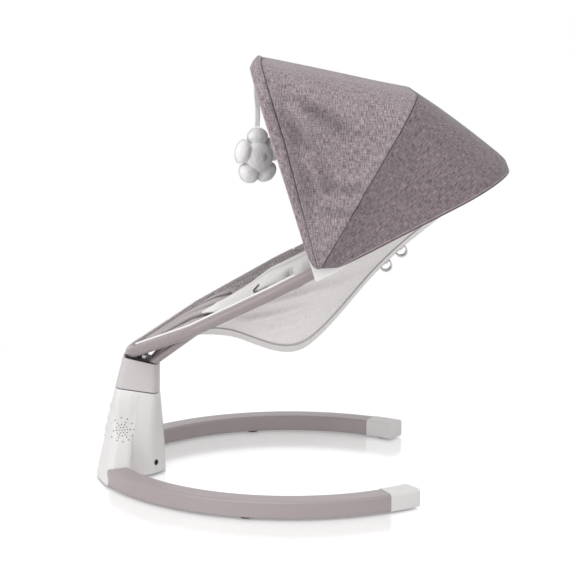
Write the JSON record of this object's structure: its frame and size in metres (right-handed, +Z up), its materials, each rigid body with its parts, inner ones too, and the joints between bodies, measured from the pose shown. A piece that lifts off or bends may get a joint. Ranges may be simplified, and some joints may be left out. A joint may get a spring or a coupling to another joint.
{
  "type": "electric baby swing",
  "caption": "Baby swing with a sling seat on a teardrop tube frame, carried by a tilted swinging head on a flared column with a horseshoe stand, with folding canopy and hanging toy.",
  "frame": {"origin": "middle of the stand's footprint box on the floor", "axes": "+X from the column to the head end, +Y to the sitter's left, +Z up"},
  "size_m": [0.752, 0.6, 0.7608],
  "materials": {
    "white_plastic": "satin moulded",
    "arm_paint": "satin powder coat",
    "tube_paint": "satin powder coat",
    "black_plastic": "fine grain",
    "rubber": "matt",
    "steel": "zinc plated",
    "gear_plastic": "moulded",
    "bronze": "sintered",
    "board": "solder mask",
    "panel_gloss": "gloss",
    "button_plastic": "satin",
    "canopy_cloth": "melange weave",
    "sling_cloth": "plain weave",
    "liner_cloth": "melange weave",
    "insert_cloth": "soft knit",
    "webbing": "woven webbing",
    "plush": "short pile",
    "buckle_plastic": "satin"
  },
  "bodies": {
    "base": {"column_shell": "white_plastic", "base_plate": "black_plastic", "base_screws": "steel", "column_feet": "rubber", "right_arm": "arm_paint", "left_arm": "arm_paint", "right_arm_cap": "white_plastic", "left_arm_cap": "white_plastic", "arm_feet": "rubber", "arm_bolts": "steel", "bearing_block": "steel", "upper_bushing": "bronze", "lower_bushing": "bronze", "gear_motor": "steel", "motor_cradle": "black_plastic", "control_board": "board", "speaker": "black_plastic", "dc_socket": "black_plastic", "control_panel": "panel_gloss", "button_board": "board"},
    "seat": {"spindle": "steel", "sector_gear": "gear_plastic", "head_shell": "white_plastic", "head_top_plate": "black_plastic", "saddle_bracket": "tube_paint", "saddle_bolts": "black_plastic", "front_frame_tube": "tube_paint", "rear_frame_tube": "tube_paint", "right_strut": "tube_paint", "left_strut": "tube_paint", "right_hub": "white_plastic", "left_hub": "white_plastic", "hub_pivot_pins": "steel", "seat_sling": "sling_cloth", "seat_liner": "liner_cloth", "infant_insert": "insert_cloth", "crotch_strap": "webbing", "right_waist_strap": "webbing", "left_waist_strap": "webbing", "right_shoulder_strap": "webbing", "left_shoulder_strap": "webbing", "harness_buckle": "buckle_plastic", "harness_back_loops": "webbing", "canopy_rear_panel": "canopy_cloth"},
    "mid_bow": {"canopy_mid_bow": "steel", "canopy_front_panel": "canopy_cloth"},
    "front_bow": {"canopy_front_bow": "steel", "canopy_front_hem": "canopy_cloth"},
    "toy": {"toy_ribbon": "webbing", "toy_centre": "plush", "toy_petal_1": "plush", "toy_petal_2": "plush", "toy_petal_3": "plush", "toy_petal_4": "plush", "toy_petal_5": "plush"},
    "pinion": {"drive_pinion": "gear_plastic"},
    "power_button": {"power_button": "button_plastic"},
    "speed_button": {"speed_button": "button_plastic"},
    "music_button": {"music_button": "button_plastic"},
    "release_button": {"buckle_button": "button_plastic"}
  },
  "joints": [
    {"name": "swing_axis", "type": "hinge", "parent": "base", "child": "seat", "pos_m": [-0.303, 0, 0.158], "axis": [0.1444, 0, 0.9895], "range_deg": [-12, 12]},
    {"name": "pinion_spin", "type": "hinge", "parent": "base", "child": "pinion", "pos_m": [-0.31883, 0.02886, 0.16031], "axis": [0.1444, 0, 0.9895], "range_deg": [-33, 33]},
    {"name": "canopy_fold", "type": "hinge", "parent": "seat", "child": "mid_bow", "pos_m": [0.04182, 0, 0.43094], "axis": [0, 1, 0], "range_deg": [0, 20], "deforming": ["canopy_rear_panel"]},
    {"name": "canopy_front_fold", "type": "hinge", "parent": "mid_bow", "child": "front_bow", "pos_m": [0.04182, 0, 0.43094], "axis": [0, 1, 0], "range_deg": [0, 40], "deforming": ["canopy_front_panel"]},
    {"name": "toy_hang", "type": "hinge", "parent": "front_bow", "child": "toy", "pos_m": [-0.0811, 0, 0.75116], "axis": [0, 1, 0], "range_deg": [-30, 30]},
    {"name": "power_press", "type": "slide", "parent": "base", "child": "power_button", "axis": [0.9743, 0, -0.2251], "range_m": [0, 0.0012], "stiffness_N_per_m": 400},
    {"name": "speed_press", "type": "slide", "parent": "base", "child": "speed_button", "axis": [0.9743, 0, -0.2251], "range_m": [0, 0.0012], "stiffness_N_per_m": 400},
    {"name": "music_press", "type": "slide", "parent": "base", "child": "music_button", "axis": [0.9743, 0, -0.2251], "range_m": [0, 0.0012], "stiffness_N_per_m": 400},
    {"name": "release_press", "type": "slide", "parent": "seat", "child": "release_button", "axis": [0.1245, 0, -0.9922], "range_m": [0, 0.003], "stiffness_N_per_m": 600}
  ],
  "couplings": [
    {"joint": "pinion_spin", "follows": "swing_axis", "ratio": -2.6667},
    {"joint": "canopy_front_fold", "follows": "canopy_fold", "ratio": 2}
  ]
}
